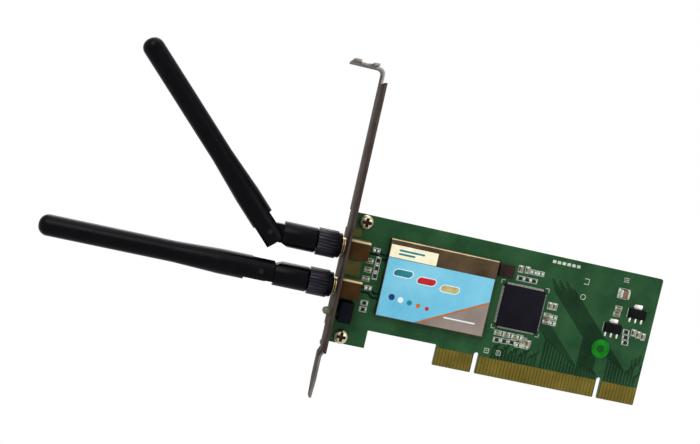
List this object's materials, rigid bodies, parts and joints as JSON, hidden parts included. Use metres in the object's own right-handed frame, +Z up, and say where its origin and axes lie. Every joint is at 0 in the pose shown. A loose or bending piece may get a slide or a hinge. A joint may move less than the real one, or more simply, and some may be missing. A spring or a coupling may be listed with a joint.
{
  "type": "pci wifi card",
  "caption": "Wireless network card: low-profile expansion board with a shielded radio on a full-height bracket, and swivelling, folding whip antennas screwed to coaxial jacks.",
  "frame": {"origin": "middle of the contact edge, half way through the board's thickness, at its lower end", "axes": "+X along the board away from the bracket, +Y out of the solder side, +Z up from the contact edge towards the bracket's tab"},
  "size_m": [0.2261, 0.0184, 0.12],
  "materials": {
    "solder_mask": "green solder mask over copper tracks",
    "contact_gold": "gold plating",
    "bracket_steel": "nickel-plated sheet steel",
    "screw_steel": "plated screw",
    "jack_brass": "gold-flashed brass",
    "insulator_white": "white insulator",
    "nut_black": "black plated knurled metal",
    "antenna_black": "satin black moulded plastic",
    "pin_steel": "steel pin",
    "holder_plastic": "black moulded plastic",
    "lamp_lens": "clear pale green lens",
    "tinned_lead": "bright tin",
    "shield_tin": "tinned sheet",
    "chip_mould": "moulded chip package",
    "label_print": "printed adhesive label",
    "paper_cream": "plain paper label",
    "dot_green": "fluorescent paper dot",
    "capacitor_tan": "ceramic chip capacitor",
    "resistor_body": "chip resistor",
    "bulk_brown": "moulded capacitor",
    "crystal_brown": "dark moulded package"
  },
  "bodies": {
    "card": {"board": "solder_mask", "front_contacts": "contact_gold", "back_contacts": "contact_gold", "bracket": "bracket_steel", "board_screws": "screw_steel", "lamp_holder": "holder_plastic", "lamp_lens": "lamp_lens", "lamp_leads": "tinned_lead", "radio_shield": "shield_tin", "radio_chip": "chip_mould", "amplifier_chips": "chip_mould", "radio_crystal": "tinned_lead", "colour_label": "label_print", "paper_strip": "paper_cream", "test_dot": "dot_green", "main_chip": "chip_mould", "main_chip_leads": "tinned_lead", "regulators": "chip_mould", "regulator_leads": "tinned_lead", "ceramic_capacitors": "capacitor_tan", "chip_resistors": "resistor_body", "bulk_capacitor": "bulk_brown", "clock_crystal": "crystal_brown", "upper_jack_body": "jack_brass", "upper_jack_insulator": "insulator_white", "upper_jack_contact": "contact_gold", "lower_jack_body": "jack_brass", "lower_jack_insulator": "insulator_white", "lower_jack_contact": "contact_gold"},
    "upper_plug": {"upper_plug_core": "jack_brass", "upper_plug_insulator": "insulator_white", "upper_plug_contact": "contact_gold"},
    "upper_nut": {"upper_coupling_nut": "nut_black"},
    "upper_base": {"upper_swivel_base": "antenna_black", "upper_hinge_pin": "pin_steel"},
    "upper_aerial": {"upper_whip": "antenna_black", "upper_radiator": "jack_brass"},
    "lower_plug": {"lower_plug_core": "jack_brass", "lower_plug_insulator": "insulator_white", "lower_plug_contact": "contact_gold"},
    "lower_nut": {"lower_coupling_nut": "nut_black"},
    "lower_base": {"lower_swivel_base": "antenna_black", "lower_hinge_pin": "pin_steel"},
    "lower_aerial": {"lower_whip": "antenna_black", "lower_radiator": "jack_brass"}
  },
  "joints": [
    {"name": "upper_withdraw", "type": "slide", "parent": "card", "child": "upper_plug", "axis": [-1, 0, 0], "range_m": [0, 0.00353]},
    {"name": "upper_nut_turn", "type": "hinge", "parent": "upper_plug", "child": "upper_nut", "pos_m": [-0.08637, -0.00449, 0.0363], "axis": [-1, 0, 0], "range_deg": [0, 1800]},
    {"name": "upper_swivel", "type": "hinge", "parent": "upper_plug", "child": "upper_base", "pos_m": [-0.08637, -0.00449, 0.0363], "axis": [1, 0, 0], "range_deg": [-90, 90]},
    {"name": "upper_tilt", "type": "hinge", "parent": "upper_base", "child": "upper_aerial", "pos_m": [-0.10863, -0.00449, 0.0363], "axis": [0, 1, 0], "range_deg": [-45.5, 44.5]},
    {"name": "lower_withdraw", "type": "slide", "parent": "card", "child": "lower_plug", "axis": [-1, 0, 0], "range_m": [0, 0.00353]},
    {"name": "lower_nut_turn", "type": "hinge", "parent": "lower_plug", "child": "lower_nut", "pos_m": [-0.08637, -0.00449, 0.022], "axis": [-1, 0, 0], "range_deg": [0, 1800]},
    {"name": "lower_swivel", "type": "hinge", "parent": "lower_plug", "child": "lower_base", "pos_m": [-0.08637, -0.00449, 0.022], "axis": [1, 0, 0], "range_deg": [-90, 90]},
    {"name": "lower_tilt", "type": "hinge", "parent": "lower_base", "child": "lower_aerial", "pos_m": [-0.10863, -0.00449, 0.022], "axis": [0, -1, 0], "range_deg": [0, 90]}
  ],
  "couplings": [
    {"joint": "upper_nut_turn", "follows": "upper_withdraw", "rad_per_m": 8905.3},
    {"joint": "lower_nut_turn", "follows": "lower_withdraw", "rad_per_m": 8905.3}
  ]
}
